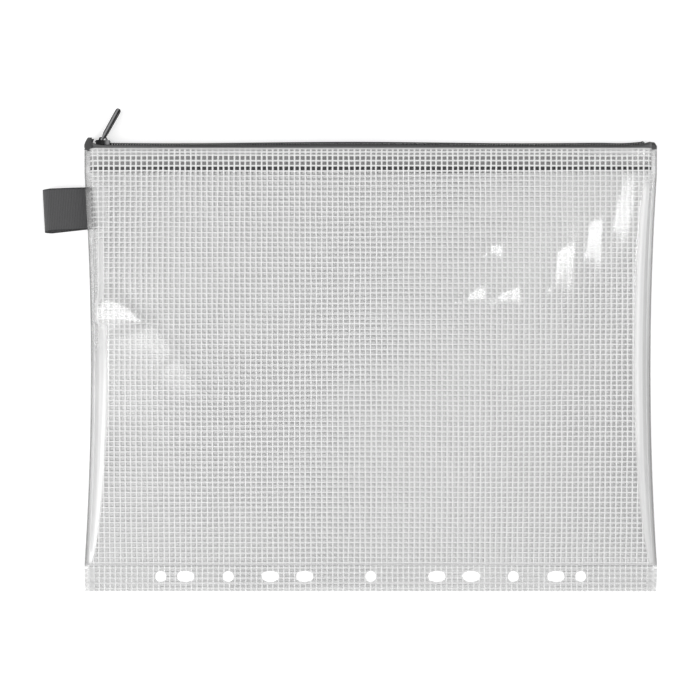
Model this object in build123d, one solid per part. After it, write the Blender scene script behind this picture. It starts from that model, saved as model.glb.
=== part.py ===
"""A4 document wallet of clear mesh-reinforced film: a zipped pouch, a ribbon loop and a punched filing strip.

Millimetres. The wallet lies on its back: +X runs along the zip, +Y from the filing strip to the zip and
+Z up out of the front panel. The origin is the middle of the back panel's resting face.
"""
import os
from math import asin, atan2, cos, degrees, sin, sqrt

from build123d import *

# Cuts, welds and running clearances
overrun = 5.0
weld_gap = 0.02
touching = 0.001
swing_clear = 0.1

# Pouch: two film panels, flat at the back and domed at the front
film = 0.35
bag_width = 327.0
pouch_height = 237.0
waist_draw = 3.7
seam_width = 2.5
bulge = 11.4
crown = 1.0
wall_run = 12.0
band_height = 13.0
band_rise = 9.6
band_run = 7.0
wall_turn_share = 1.4
length_shares = (0.0, 0.03, 0.08, 0.15, 0.25, 0.38, 0.55, 0.78, 0.92)
rise_shares = (0.02, 0.15, 0.37, 0.6, 0.8, 0.94, 1.0, 0.96, 0.88)
run_shares = (1.3, 1.28, 1.24, 1.18, 1.1, 1.0, 0.95, 0.8, 0.65)
crown_shares = (0.05, 0.2, 0.5, 0.75, 0.9, 1.0, 1.0, 0.6, 0.25)

# Filing strip: both films welded flat below the fold, punched for every common binder
strip_height = 14.5
strip_corner = 2.0
fold_gap = 0.42
hole_rise = 8.5
hole_diameter = 6.2
slot_length = 9.8
round_spacings = {"inner": 162.8, "outer": 240.0}
slot_spacings = {"near": 75.5, "middle": 114.8, "far": 211.6}

# Zip tapes: a leg welded inside each panel, a bend, and a roof that meets the coil
tape_thickness = 0.5
tape_leg = 10.5
tape_rise = 2.9
tape_fold = 0.9
tail_length = 7.4
tail_curl = 1.2
tail_height = 4.9
tail_lean = 4.2
tail_width = 2.6

# Zip coils: dovetail heads on a spine, interlocked right of the slider and parted to its left
coil_pitch = 1.5
coil_height = 1.8
chain_half = 2.0
spine_width = 0.55
head_reach = 0.55
head_width = 0.66
neck_width = 0.5
coil_spread = 1.4
chain_inset = 6.0

# Slider: a cast body round the chain, with a bridge for the pull
slider_inset = 7.1
slider_length = 8.0
slider_plate = 0.8
slider_wall = 0.6
slider_clear = 0.25
slider_round = 0.9
slider_edge = 0.25
parting_shares = (0.4, 0.72)
post_shares = (0.06, 0.16, 0.4, 0.54)
bridge_width = 1.6
bridge_bar = 0.65
bridge_round = 0.5
bridge_foot_shares = (0.13, 0.87)
bridge_brow_shares = (0.25, 0.75)
pivot_share = 0.44

# Pull: two arms and a cross bar through the bridge, and a flat tab of even thickness
bar_radius = 0.45
bar_clear = 0.15
arm_width = 0.9
arm_clear = 0.25
eye_length = 3.6
pull_length = 20.0
pull_thickness = 2.5
pull_width = 6.0
panel_margin = 0.8
panel_depth = 0.3
pull_angle = 61.0

# Ribbon: a folded loop whose tails are welded into the left seam
ribbon_width = 25.0
ribbon_thickness = 0.5
ribbon_drop = 33.4
ribbon_tail_length = 10.0
loop_reach = 23.6
loop_end_radius = 3.8
table_gap = 0.1

# Levels and places that the pieces share
crease_y = -pouch_height / 2
edge_y = pouch_height / 2
band_y = edge_y - band_height
fold_y = crease_y + fold_gap
margin_z = 2 * film
roof_y = edge_y + tape_rise
coil_top_y = roof_y + coil_height
tape_depth = film + weld_gap
tape_floor_z = film + tape_thickness
tape_ceiling_z = margin_z + band_rise - tape_depth - tape_thickness
zip_z = (tape_floor_z + tape_ceiling_z) / 2
post_half = coil_spread - head_reach - slider_clear
tape_gap = 2 * (post_half + slider_clear)
slider_nose = slider_inset - bag_width / 2
parting_x = [slider_nose + share * slider_length for share in parting_shares]
plate_y = coil_top_y + slider_clear
slider_top_y = plate_y + slider_plate
pivot_x = slider_nose + pivot_share * slider_length
pivot_y = slider_top_y + bar_clear + bar_radius


def side_arc():
    """Height of the waist and radius of the arc that each side edge follows from the fold to the band."""
    half_chord = (band_y - crease_y) / 2
    return (crease_y + band_y) / 2, (half_chord**2 + waist_draw**2) / (2 * waist_draw)


def half_width(y):
    """Half the wallet's width at a height y, drawn in towards the waist."""
    waist_y, radius = side_arc()
    return bag_width / 2 - sqrt(radius**2 - (y - waist_y) ** 2) + radius - waist_draw


def side_lean(y):
    """How far the side edge leans outward at a height y, in degrees."""
    waist_y, radius = side_arc()
    return degrees(asin((y - waist_y) / radius))


def arch(y, half, rise, run, depth, level, crest=0):
    """Edges of the dome's section at y, depth inside its outer face, from the right foot to the left one.

    A straight wall leaves the margin at the turn angle, an arc brings it level at the brow, and a flat or
    slightly crowned stretch crosses to the other side. The feet are cut at the height given by level.
    """
    turn = wall_turn_share * atan2(rise, run)
    fall = 1 - cos(turn)
    radius = (run * sin(turn) - rise * cos(turn)) / fall
    slope = (rise * sin(turn) - run * fall) / fall
    foot_x = half - seam_width
    top = margin_z + rise
    climb = (level - margin_z + depth * cos(turn)) / sin(turn)
    foot = (foot_x - depth * sin(turn) - climb * cos(turn), level)
    knee = (foot_x - depth * sin(turn) - slope * cos(turn), margin_z - depth * cos(turn) + slope * sin(turn))
    bow = radius - depth
    middle = (foot_x - run + bow * sin(turn / 2), top - radius + bow * cos(turn / 2))
    brow = (foot_x - run, top - depth)
    right = [Vector(x, y, z) for x, z in (foot, knee, middle, brow)]
    left = [Vector(-point.X, y, point.Z) for point in right]
    level_run = Line(right[3], left[3])
    if crest:
        level_run = ThreePointArc(right[3], Vector(0, y, brow[1] + crest), left[3])
    return [
        Line(right[0], right[1]),
        ThreePointArc(right[1], right[2], right[3]),
        level_run,
        ThreePointArc(left[3], left[2], left[1]),
        Line(left[1], left[0]),
    ]


def closed_face(edges):
    """The face bounded by edges that already run end to end, with a straight edge over each gap."""
    ring = []
    for edge, following in zip(edges, edges[1:] + edges[:1]):
        ring.append(edge)
        if (edge @ 1 - following @ 0).length > touching:
            ring.append(Line(edge @ 1, following @ 0))
    return make_face(ring)


def reversed_arch(edges):
    """The same section run from the left foot to the right one."""
    turned = []
    for edge in reversed(edges):
        ends = (edge @ 1, edge @ 0)
        straight = edge.geom_type == GeomType.LINE
        turned.append(Line(*ends) if straight else ThreePointArc(ends[0], edge @ 0.5, ends[1]))
    return turned


def panel_section(y, rise, run, crest):
    """A thin section of the front panel: seam margin, wall, level stretch, wall and seam margin."""
    half = half_width(min(y, band_y))
    outer = arch(y, half, rise, run, 0, margin_z, crest)
    inner = reversed_arch(arch(y, half, rise, run, film, film, crest))
    left_end = Line((-half, y, margin_z), (-half, y, film))
    right_end = Line((half, y, film), (half, y, margin_z))
    return closed_face(outer + [left_end] + inner + [right_end])


def front_panel():
    """The domed front film: a loft from the fold to the zip band, then the straight band."""
    sections = []
    for length, rise, run, crest in zip(length_shares, rise_shares, run_shares, crown_shares):
        y = fold_y + length * (band_y - fold_y)
        sections.append(panel_section(y, rise * bulge, run * wall_run, crest * crown))
    band_section = panel_section(band_y, band_rise, band_run, 0)
    dome = loft(sections + [band_section], ruled=True)
    band = extrude(band_section, amount=band_height, dir=(0, 1, 0))
    return dome + band - ribbon_slot()


def back_panel():
    """The flat back film, with the same side edges as the front."""
    sides = []
    for side in (1, -1):
        low, middle, high = ((side * half_width(y), y) for y in (fold_y, (fold_y + band_y) / 2, band_y))
        top = (side * bag_width / 2, edge_y)
        sides.append([ThreePointArc(low, middle, high), Line(high, top)])
    right, left = sides
    across = Line(right[1] @ 1, left[1] @ 1)
    foot = Line(left[0] @ 0, right[0] @ 0)
    return extrude(make_face(right + [across] + left + [foot]), amount=film)


def filing_strip():
    """Both films welded flat, with round holes and slots in a row for ring and lever binders."""
    length = strip_height - fold_gap
    top = crease_y - fold_gap
    row_y = crease_y - strip_height + hole_rise
    sheet = Pos(0, top - length / 2) * Rectangle(bag_width, length)
    sheet = fillet(sheet.vertices().sort_by(Axis.Y)[:2], strip_corner)
    sheet -= Pos(0, row_y) * Circle(hole_diameter / 2)
    for side in (1, -1):
        for spacing in round_spacings.values():
            sheet -= Pos(side * spacing / 2, row_y) * Circle(hole_diameter / 2)
        for spacing in slot_spacings.values():
            sheet -= Pos(side * spacing / 2, row_y) * SlotOverall(slot_length, hole_diameter)
    return extrude(sheet, amount=margin_z)


def zip_end(depth, start, end, bend):
    """A solid that fills the zip band a depth inside the front panel, with its end edge bent round."""
    face = closed_face(arch(start, bag_width / 2, band_rise, band_run, depth, film))
    block = extrude(face, amount=end - start, dir=(0, 1, 0))
    rim = block.faces().sort_by(Axis.Y)[-1].edges()
    return fillet([edge for edge in rim if edge.center().Z > film + touching], bend)


def tail_place(side):
    """Where a tape's tail starts, beside the slider's nose: its root's x, and its lower z."""
    near = zip_z + side * (tape_gap / 2 + tape_thickness)
    far = near + side * tail_width
    return slider_nose - slider_clear, min(near, far)


def tape_tail(side):
    """The cut end of a tape past the slider, bent up and back over itself, side +1 at the front."""
    root_x, low = tail_place(side)
    start = (root_x, roof_y - tape_thickness / 2)
    corner = (root_x - tail_length, start[1])
    tip = (corner[0] + tail_lean, corner[1] + tail_height)
    strip = trace(FilletPolyline(start, corner, tip, radius=tail_curl), tape_thickness)
    return extrude(Pos(0, 0, low) * strip, amount=tail_width)


def tail_notch(side):
    """The room that a tail takes out of its tape's end wall."""
    root_x, low = tail_place(side)
    depth = tape_thickness + weld_gap
    room = Box(2 * tail_length, 2 * depth, tail_width + 2 * weld_gap)
    return Pos(root_x - tail_length, roof_y, low + tail_width / 2) * room


def front_tape():
    """The front tape: an arched leg inside the front panel and the upper half of the end wall."""
    foot_y = edge_y - tape_leg
    lining = tape_depth + tape_thickness
    outer = zip_end(tape_depth, foot_y, roof_y, tape_fold)
    inner = extrude(
        closed_face(arch(foot_y, bag_width / 2, band_rise, band_run, lining, film)),
        amount=roof_y - tape_thickness - foot_y,
        dir=(0, 1, 0),
    )
    mouth_height = 2 * (zip_z + tape_gap / 2)
    mouth = Pos(0, roof_y) * Box(bag_width, 2 * tape_fold, mouth_height)
    return outer - inner - mouth - tail_notch(1)


def rear_tape():
    """The rear tape: a flat leg on the back panel and the lower half of the end wall."""
    foot_y = edge_y - tape_leg
    half = tape_thickness / 2
    bend = FilletPolyline(
        (foot_y, film + half),
        (roof_y - half, film + half),
        (roof_y - half, zip_z - tape_gap / 2),
        radius=tape_fold - half,
    )
    strip = extrude(Plane.YZ * trace(bend, tape_thickness), amount=bag_width / 2, both=True)
    lining = tape_depth + tape_thickness + weld_gap
    room = closed_face(arch(foot_y - overrun, bag_width / 2, band_rise, band_run, lining, 0))
    inside = extrude(room, amount=tape_leg + tape_rise + 2 * overrun, dir=(0, 1, 0))
    return (strip & inside) - tail_notch(-1)


def parting(x):
    """How far each coil stands off the chain's centre line at x: closed behind the slider, parted ahead."""
    start, end = parting_x
    share = min(max((end - x) / (end - start), 0), 1)
    return share * coil_spread


def coil(side, shift):
    """One coil: a spine and its row of dovetail heads, side +1 at the front and -1 at the rear."""
    left = chain_inset - bag_width / 2
    right = bag_width / 2 - chain_inset
    base = chain_half - spine_width
    count = int((right - left - coil_pitch) / coil_pitch)
    outline = [(left, base + parting(left))]
    for index in range(count):
        x = left + shift + (index + 1 / 2) * coil_pitch
        off = parting(x)
        outline += [(x - neck_width / 2, base + off), (x - head_width / 2, off - head_reach)]
        outline += [(x + head_width / 2, off - head_reach), (x + neck_width / 2, base + off)]
    outline += [(right, base), (right, chain_half), (parting_x[1], chain_half)]
    outline += [(parting_x[0], chain_half + coil_spread), (left, chain_half + coil_spread)]
    points = [(x, roof_y, zip_z + side * off) for x, off in outline]
    return extrude(make_face(Polyline(*points, close=True)), amount=coil_height, dir=(0, 1, 0))


def slider_plan(y, margin, stretch=0):
    """The slider's outline in plan at y: wide at the nose, narrow behind, a margin outside the coils."""
    nose = slider_nose - stretch
    rear = slider_nose + slider_length + stretch
    wide = chain_half + coil_spread + margin
    narrow = chain_half + margin
    near = [(nose, wide), (parting_x[0], wide), (parting_x[1], narrow), (rear, narrow)]
    ring = near + [(x, -off) for x, off in reversed(near)]
    return make_face(Polyline(*[(x, y, zip_z + off) for x, off in ring], close=True))


def bridge():
    """The arch on top of the slider that the pull's cross bar turns under."""
    foot_near, foot_far = (slider_nose + share * slider_length for share in bridge_foot_shares)
    brow_near, brow_far = (slider_nose + share * slider_length for share in bridge_brow_shares)
    ceiling = slider_top_y + 2 * (bar_radius + bar_clear)
    base = slider_top_y - slider_plate / 2
    crest = ceiling + bridge_bar
    body = make_face(
        Polyline((foot_near, base), (brow_near, crest), (brow_far, crest), (foot_far, base), close=True)
    )
    body = fillet(body.vertices().sort_by(Axis.Y)[-2:], bridge_round)
    hollow_length = brow_far - brow_near - 2 * bridge_bar
    hollow = Pos((brow_near + brow_far) / 2, (slider_top_y + ceiling) / 2) * Rectangle(
        hollow_length, ceiling - slider_top_y
    )
    low = zip_z - bridge_width / 2
    return extrude(Pos(0, 0, low) * (body - hollow), amount=bridge_width)


def slider_body():
    """The cast slider: a channelled top, a flat sole inside the pouch, the parting post and the bridge."""
    floor_y = roof_y + slider_clear
    sole_top = roof_y - tape_thickness - slider_clear
    outside = slider_clear + slider_wall
    top = extrude(slider_plan(floor_y, outside), amount=slider_top_y - floor_y, dir=(0, 1, 0))
    top = fillet(top.edges().filter_by(Axis.Y), slider_round)
    top = chamfer(top.faces().sort_by(Axis.Y)[-1].edges(), slider_edge)
    channel = slider_plan(floor_y - overrun, slider_clear, overrun)
    top -= extrude(channel, amount=plate_y - floor_y + overrun, dir=(0, 1, 0))
    sole = extrude(slider_plan(sole_top - slider_plate, -slider_clear), amount=slider_plate, dir=(0, 1, 0))
    sole = fillet(sole.edges().filter_by(Axis.Y), slider_round)
    tip, near, far, heel = (slider_nose + share * slider_length for share in post_shares)
    kite = [(tip, 0), (near, post_half), (far, post_half), (heel, 0), (far, -post_half), (near, -post_half)]
    foot = sole_top - slider_plate / 2
    post = make_face(Polyline(*[(x, foot, zip_z + off) for x, off in kite], close=True))
    post = extrude(post, amount=plate_y + slider_plate / 2 - foot, dir=(0, 1, 0))
    return top + sole + post + bridge()


def pull_tab():
    """The pull, built along +X from its cross bar and then stood up at its rest angle."""
    eye_half = bridge_width / 2 + arm_clear
    arm_half = eye_half + arm_width
    shoulder = pull_length - pull_width / 2
    plan = make_hull(
        (Pos(eye_length, 0) * Rectangle(2 * arm_width, 2 * arm_half)).edges()
        + (Pos(shoulder, 0) * Circle(pull_width / 2)).edges()
    )
    plan += Pos(eye_length / 2, 0) * Rectangle(eye_length, 2 * arm_half)
    plan -= Pos(eye_length / 2, 0) * Rectangle(eye_length, 2 * eye_half)
    blank = extrude(plan, amount=pull_thickness, both=True)
    round_base = Pos(eye_length, 0) * Circle(pull_thickness / 2)
    round_tip = Pos(pull_length - pull_thickness / 2, 0) * Circle(pull_thickness / 2)
    side = make_hull(Circle(bar_radius).edges() + round_base.edges())
    side += make_hull(round_base.edges() + round_tip.edges())
    blank &= extrude(Rot(90, 0, 0) * side, amount=pull_width, both=True)
    blank += Rot(90, 0, 0) * Cylinder(bar_radius, 2 * arm_half)
    rim = make_hull(
        (Pos(eye_length + 2 * arm_width, 0) * Circle(arm_half - panel_margin)).edges()
        + (Pos(shoulder, 0) * Circle(pull_width / 2 - panel_margin)).edges()
    )
    recess = Pos(0, 0, pull_thickness / 2 - panel_depth) * extrude(rim, amount=pull_thickness)
    for face_turn in (0, 180):
        blank -= Rot(face_turn, 0, 0) * recess
    upright = Rot(0, 0, pull_angle) * Rot(90, 0, 0) * blank
    return Pos(pivot_x, pivot_y, zip_z) * upright


def ribbon_place():
    """The seam point at the ribbon's middle, turned so that the ribbon leaves square to the side edge."""
    y = edge_y - ribbon_drop
    reach = half_width(y) + ribbon_thickness + swing_clear
    return Pos(-reach, y, film + ribbon_thickness) * Rot(0, 0, side_lean(y))


def ribbon_slot():
    """The room that the welded tails take out of the front panel's margin and wall."""
    room = Box(
        ribbon_tail_length + overrun,
        ribbon_width + 2 * weld_gap,
        2 * ribbon_thickness + 2 * weld_gap,
    )
    return ribbon_place() * Pos(ribbon_tail_length / 2, 0, 0) * room


def ribbon_tail():
    """The ribbon's two tails, one on the other, welded between the panels."""
    tail = Box(ribbon_tail_length, ribbon_width, 2 * ribbon_thickness)
    start = ribbon_thickness + swing_clear + ribbon_tail_length / 2
    return ribbon_place() * Pos(start, 0, 0) * tail


def ribbon_loop():
    """The loop itself: two plies that leave the seam together and part round an open end."""
    place = ribbon_place()
    end = Pos(loop_end_radius - loop_reach, loop_end_radius + table_gap - place.position.Z)
    outside = make_hull((end * Circle(loop_end_radius)).edges() + Circle(ribbon_thickness).edges())
    inside = make_hull(
        (end * Circle(loop_end_radius - ribbon_thickness)).edges() + Circle(swing_clear).edges()
    )
    section = Rot(90, 0, 0) * (outside - inside)
    return place * extrude(section, amount=ribbon_width / 2, both=True)


nodes = {
    "front_panel": front_panel,
    "back_panel": back_panel,
    "filing_strip": filing_strip,
    "front_tape": front_tape,
    "rear_tape": rear_tape,
    "front_tape_tail": lambda: tape_tail(1),
    "rear_tape_tail": lambda: tape_tail(-1),
    "front_coil": lambda: coil(1, 0),
    "rear_coil": lambda: coil(-1, coil_pitch / 2),
    "slider_body": slider_body,
    "pull_tab": pull_tab,
    "ribbon_tail": ribbon_tail,
    "ribbon_loop": ribbon_loop,
}
os.makedirs("parts", exist_ok=True)
for name, make in nodes.items():
    export_step(make(), f"parts/{name}.step")
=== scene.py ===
import math

import bpy
import numpy as np
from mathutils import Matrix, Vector


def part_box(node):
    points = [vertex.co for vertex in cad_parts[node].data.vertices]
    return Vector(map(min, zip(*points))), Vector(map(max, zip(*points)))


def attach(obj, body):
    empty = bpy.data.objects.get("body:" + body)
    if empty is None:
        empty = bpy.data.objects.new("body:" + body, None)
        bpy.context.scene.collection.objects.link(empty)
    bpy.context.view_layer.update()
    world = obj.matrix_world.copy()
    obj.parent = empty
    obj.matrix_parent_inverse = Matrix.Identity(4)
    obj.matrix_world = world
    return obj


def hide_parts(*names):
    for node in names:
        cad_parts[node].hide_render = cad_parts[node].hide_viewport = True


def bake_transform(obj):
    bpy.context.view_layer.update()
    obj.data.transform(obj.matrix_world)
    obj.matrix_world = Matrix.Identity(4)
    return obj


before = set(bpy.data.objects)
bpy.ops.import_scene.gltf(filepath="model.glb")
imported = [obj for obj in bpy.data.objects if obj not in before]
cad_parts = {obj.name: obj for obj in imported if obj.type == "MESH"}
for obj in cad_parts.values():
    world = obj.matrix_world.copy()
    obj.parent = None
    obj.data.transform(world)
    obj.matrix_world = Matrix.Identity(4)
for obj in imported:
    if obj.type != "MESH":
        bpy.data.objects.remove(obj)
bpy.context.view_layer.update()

# Back panel film: a sheet of clear soft plastic, cut to the pouch's outline with the sides drawn in at the
# waist. It lies flat on the table, and its side edges are heat-welded to the front panel's.
back_low, back_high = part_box("back_panel")
film_thickness = back_high.z
half_bag = back_high.x
fold_y, lip_y = back_low.y, back_high.y
zip_band = 0.013
band_y = lip_y - zip_band
waist_draw = 0.0037
film_alpha, wall_alpha, haze_alpha = 0.12, 0.70, 0.07
film_white = 0.92
thread_pitch = 0.0031
row_pitch = 0.0029
back_grid = (60, 80)


def side_x(y):
    """Half the wallet's width at y: an arc from the fold to the zip band, drawn in at its middle.

    Above the zip band it stays as wide as at the arc's end.
    """
    half_chord = (band_y - fold_y) / 2
    radius = (half_chord**2 + waist_draw**2) / (2 * waist_draw)
    off = np.clip(y, fold_y, band_y) - (fold_y + band_y) / 2
    return half_bag - waist_draw + radius - np.sqrt(radius**2 - off**2)


def grid_faces(rows, columns):
    """Quads of a grid of points numbered row by row, facing the side from which rows run left to right.

    Seen from there, each row lies above the one before it.
    """
    corner = np.arange(rows - 1)[:, None] * columns + np.arange(columns - 1)
    return np.stack([corner, corner + 1, corner + columns + 1, corner + columns], -1).reshape(-1, 4)


def joined(*parts):
    """Points, or places on a map, from their coordinates, each spread to the shape that all share."""
    return np.stack(np.broadcast_arrays(*parts), -1)


def add_piece(name, points, faces, finish, lay=None):
    """A smooth mesh at the origin, from points, arrays of faces and a UV map with a place for each point."""
    mesh = bpy.data.meshes.new(name)
    points = points.reshape(-1, 3)
    loops = np.concatenate([group.ravel() for group in faces])
    sizes = np.concatenate([np.full(len(group), group.shape[1]) for group in faces])
    mesh.vertices.add(len(points))
    mesh.vertices.foreach_set("co", points.astype(np.float32).ravel())
    mesh.loops.add(len(loops))
    mesh.loops.foreach_set("vertex_index", loops.astype(np.int32))
    mesh.polygons.add(len(sizes))
    mesh.polygons.foreach_set("loop_start", (np.cumsum(sizes) - sizes).astype(np.int32))
    mesh.polygons.foreach_set("use_smooth", np.ones(len(sizes), bool))
    if lay is not None:
        layer = mesh.uv_layers.new(name="lay")
        layer.data.foreach_set("uv", lay.reshape(-1, 2)[loops].astype(np.float32).ravel())
    mesh.update(calc_edges=True)
    mesh.materials.append(finish)
    piece = bpy.data.objects.new(name, mesh)
    bpy.context.scene.collection.objects.link(piece)
    return piece


def thicken(piece, thickness, offset):
    """Gives a sheet its thickness: offset 0 keeps it in the middle, -1 puts it on the outer face."""
    wall = piece.modifiers.new("thickness", "SOLIDIFY")
    wall.thickness = thickness
    wall.offset = offset


def new_finish(name, colour, roughness):
    """A material of one Principled shader, and that shader."""
    finish = bpy.data.materials.new(name)
    finish.use_nodes = True
    shader = finish.node_tree.nodes["Principled BSDF"]
    shader.inputs["Base Color"].default_value = colour
    shader.inputs["Roughness"].default_value = roughness
    return finish, shader


def grey(level):
    """The colour of a neutral grey."""
    return (level, level, level, 1)


def add_node(finish, kind, sockets=None, **settings):
    """A node with its settings and the values of its sockets, where a value that is a socket is linked."""
    node = finish.node_tree.nodes.new(kind)
    for name, value in settings.items():
        setattr(node, name, value)
    for name, value in (sockets or {}).items():
        if isinstance(value, bpy.types.NodeSocket):
            finish.node_tree.links.new(value, node.inputs[name])
        else:
            node.inputs[name].default_value = value
    return node


def calculate(finish, operation, *values):
    """One step of sums in a material."""
    return add_node(finish, "ShaderNodeMath", dict(enumerate(values)), operation=operation).outputs[0]


def feed(finish, socket, source):
    """Links a node's output to a shader's socket."""
    finish.node_tree.links.new(source, socket)


def mix(finish, factor, first, second):
    """A colour that goes from the first to the second by the factor."""
    colours = {"Factor": factor, "A": first, "B": second}
    return add_node(finish, "ShaderNodeMix", colours, data_type="RGBA").outputs["Result"]


def noise(finish, place, scale, detail):
    """Soft uneven noise over the given places."""
    sockets = {"Vector": place, "Scale": scale, "Detail": detail}
    return add_node(finish, "ShaderNodeTexNoise", sockets).outputs["Fac"]


def rescale(finish, value, ends, **settings):
    """A value moved from one range to another, whose ends are given where they aren't 0 and 1."""
    return add_node(finish, "ShaderNodeMapRange", {"Value": value, **ends}, **settings).outputs["Result"]


def press(finish, shader, height, strength, distance):
    """Bump on a shader, from a height."""
    sockets = {"Height": height, "Strength": strength, "Distance": distance}
    bump = add_node(finish, "ShaderNodeBump", sockets)
    feed(finish, shader.inputs["Normal"], bump.outputs["Normal"])


def clear_film(name, painted_cell_shade, cell_alpha):
    """Glossy clear film, embossed by the threads in it.

    Between the threads it takes the alpha given for the cells and their shade, painted shade where that is
    darker than the film. The piece's glare attribute makes it denser and whiter, mostly as painted glare,
    and its second attribute darkens it as painted shade.
    """
    finish, shader = new_finish(name, grey(film_white), 0.12)
    shader.inputs["IOR"].default_value = 1.54
    shader.inputs["Specular IOR Level"].default_value = 1.0
    shader.inputs["Coat Weight"].default_value = 1.0
    shader.inputs["Coat Roughness"].default_value = 0.08
    place = add_node(finish, "ShaderNodeTexCoord").outputs["Object"]
    lay = add_node(finish, "ShaderNodeUVMap", uv_map="lay").outputs["UV"]
    parts = add_node(finish, "ShaderNodeSeparateXYZ", {"Vector": lay})
    ridges = []
    for axis in ("X", "Y"):
        wave = calculate(finish, "COSINE", calculate(finish, "MULTIPLY", parts.outputs[axis], 2 * math.pi))
        ridges.append(calculate(finish, "MAXIMUM", wave, 0.0))
    emboss = calculate(finish, "MAXIMUM", *ridges)
    cell = rescale(finish, emboss, {"From Max": 0.6, "To Min": 1.0, "To Max": 0.0})
    # Painted shade: the cells between the threads take the cell shade, darker than the film where it is
    # given so.
    shade = mix(finish, cell, grey(film_white), grey(painted_cell_shade))
    # Painted shade: the piece's second attribute darkens the film towards black.
    painted_shade = add_node(finish, "ShaderNodeAttribute", attribute_name="painted_shade").outputs["Fac"]
    feed(finish, shader.inputs["Base Color"], mix(finish, painted_shade, shade, grey(0)))
    glare = add_node(finish, "ShaderNodeAttribute", attribute_name="glare").outputs["Fac"]
    veil = calculate(finish, "MULTIPLY_ADD", cell, cell_alpha - film_alpha, film_alpha)
    veil = calculate(finish, "MULTIPLY_ADD", glare, wall_alpha - film_alpha, veil)
    cloud = noise(finish, place, 16.0, 2.0)
    milky = rescale(finish, cloud, {"From Min": 0.45, "From Max": 0.75, "To Max": haze_alpha})
    feed(finish, shader.inputs["Alpha"], calculate(finish, "ADD", veil, milky))
    press(finish, shader, emboss, 0.05, 0.00006)
    rough = rescale(finish, noise(finish, place, 40.0, 4.0), {"To Min": 0.08, "To Max": 0.17})
    feed(finish, shader.inputs["Roughness"], rough)
    return finish


film_finish = clear_film("clear_film", film_white, film_alpha)
back_rows = np.linspace(fold_y, lip_y, back_grid[0])[:, None]
back_x = side_x(back_rows) * np.linspace(-1, 1, back_grid[1])
back_points = joined(back_x, back_rows, film_thickness / 2)
back_lay = joined(back_x / thread_pitch, (back_rows - fold_y) / row_pitch - 0.5)
back_film = add_piece("back_film", back_points, [grid_faces(*back_grid)], film_finish, back_lay)
thicken(back_film, film_thickness, 0)
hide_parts("back_panel")
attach(back_film, "pouch")

# Back scrim: an open net of flat white polyester threads laminated inside the back film. The warp runs
# down the wallet and the weft across it, and they cross about every 3 mm. The weft leans a little against
# the front net's.
thread_width = 0.00105
thread_thickness = 0.00016
thread_wander = 0.00008
selvedge = 0.003
warp_tilt, weft_tilt, warp_shift = 0.005, 0.0126, 0.25
meet_x = -0.149
back_stations = 16
last_weft_step, wefts_under_zip = 0.7, 3
rng = np.random.default_rng(11)


def tube_faces(count, stations, around):
    """Side quads and end caps of count tubes, each with stations rings of around points."""
    first = np.arange(count)[:, None, None] * stations * around
    ring = first + np.arange(stations - 1)[None, :, None] * around
    step = np.arange(around)
    here, following = ring + step, ring + (step + 1) % around
    sides = np.stack([here, following, following + around, here + around], -1).reshape(-1, 4)
    start = first[:, 0] + step[::-1]
    end = first[:, 0] + (stations - 1) * around + step
    return [sides, np.concatenate([start, end])]


def unit(directions):
    """Directions divided by their lengths."""
    return directions / np.linalg.norm(directions, axis=-1, keepdims=True)


def thread_rings(centres, up, width, thickness):
    """Lens-shaped rings of four points along each thread.

    They are half a width to each side and half a thickness up and down. The side direction is square to the
    thread's own direction and to up, the film's outward direction.
    """
    along = np.gradient(centres, axis=1)
    side = unit(np.cross(np.broadcast_to(up, along.shape), along))
    spread, depth = side * width / 2, up * thickness / 2
    return np.stack([centres + spread, centres + depth, centres - spread, centres - depth], 2)


def wander(count, stations):
    """Slow sideways drift of each thread: a few waves of different length with seeded phases."""
    along = np.linspace(0, 1, stations)
    drift = np.zeros((count, stations))
    for waves in (1, 3, 7):
        phase = rng.uniform(0, 2 * math.pi, (count, 1))
        drift += rng.normal(0, thread_wander, (count, 1)) * np.sin(2 * math.pi * waves * along + phase)
    return drift


def polyester_thread():
    """Bright white filament yarn, a little uneven in shade from fibre to fibre."""
    finish, shader = new_finish("polyester_thread", grey(0.88), 0.5)
    place = add_node(finish, "ShaderNodeTexCoord").outputs["Object"]
    fibre = noise(finish, place, 900.0, 3.0)
    shade = mix(finish, fibre, grey(0.78), grey(0.93))
    feed(finish, shader.inputs["Base Color"], shade)
    return finish


def add_threads(name, rings):
    """All threads of a net as one piece, from the rings of each."""
    return add_piece(name, rings, tube_faces(*rings.shape[:3]), thread_finish)


thread_finish = polyester_thread()
upward = np.array([0.0, 0.0, 1.0])
warp_count = int((half_bag - selvedge) / thread_pitch)
warp_index = np.arange(-warp_count, warp_count + 1)[:, None]
weft_count = int((lip_y - fold_y) / row_pitch)
weft_index = np.append(np.arange(weft_count), weft_count - 1 + last_weft_step)[:, None] + 0.5
warp_y = np.linspace(fold_y, lip_y, back_stations)[None, :]
warp_x = (warp_index - warp_shift) * thread_pitch + warp_tilt * (warp_y - fold_y)
warp_x = warp_x + wander(len(warp_index), back_stations)
warp_lines = joined(warp_x, warp_y, film_thickness / 2)
weft_rows = fold_y + weft_index[:-wefts_under_zip] * row_pitch
weft_x = (side_x(weft_rows) - selvedge) * np.linspace(-1, 1, back_stations)
weft_y = weft_rows + weft_tilt * (weft_x - meet_x) + wander(len(weft_rows), back_stations)
weft_lines = joined(weft_x, weft_y, film_thickness / 2)
back_rings = np.concatenate(
    [thread_rings(lines, upward, thread_width, thread_thickness) for lines in (warp_lines, weft_lines)]
)
back_scrim = add_threads("back_scrim", back_rings)
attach(back_scrim, "pouch")
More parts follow.
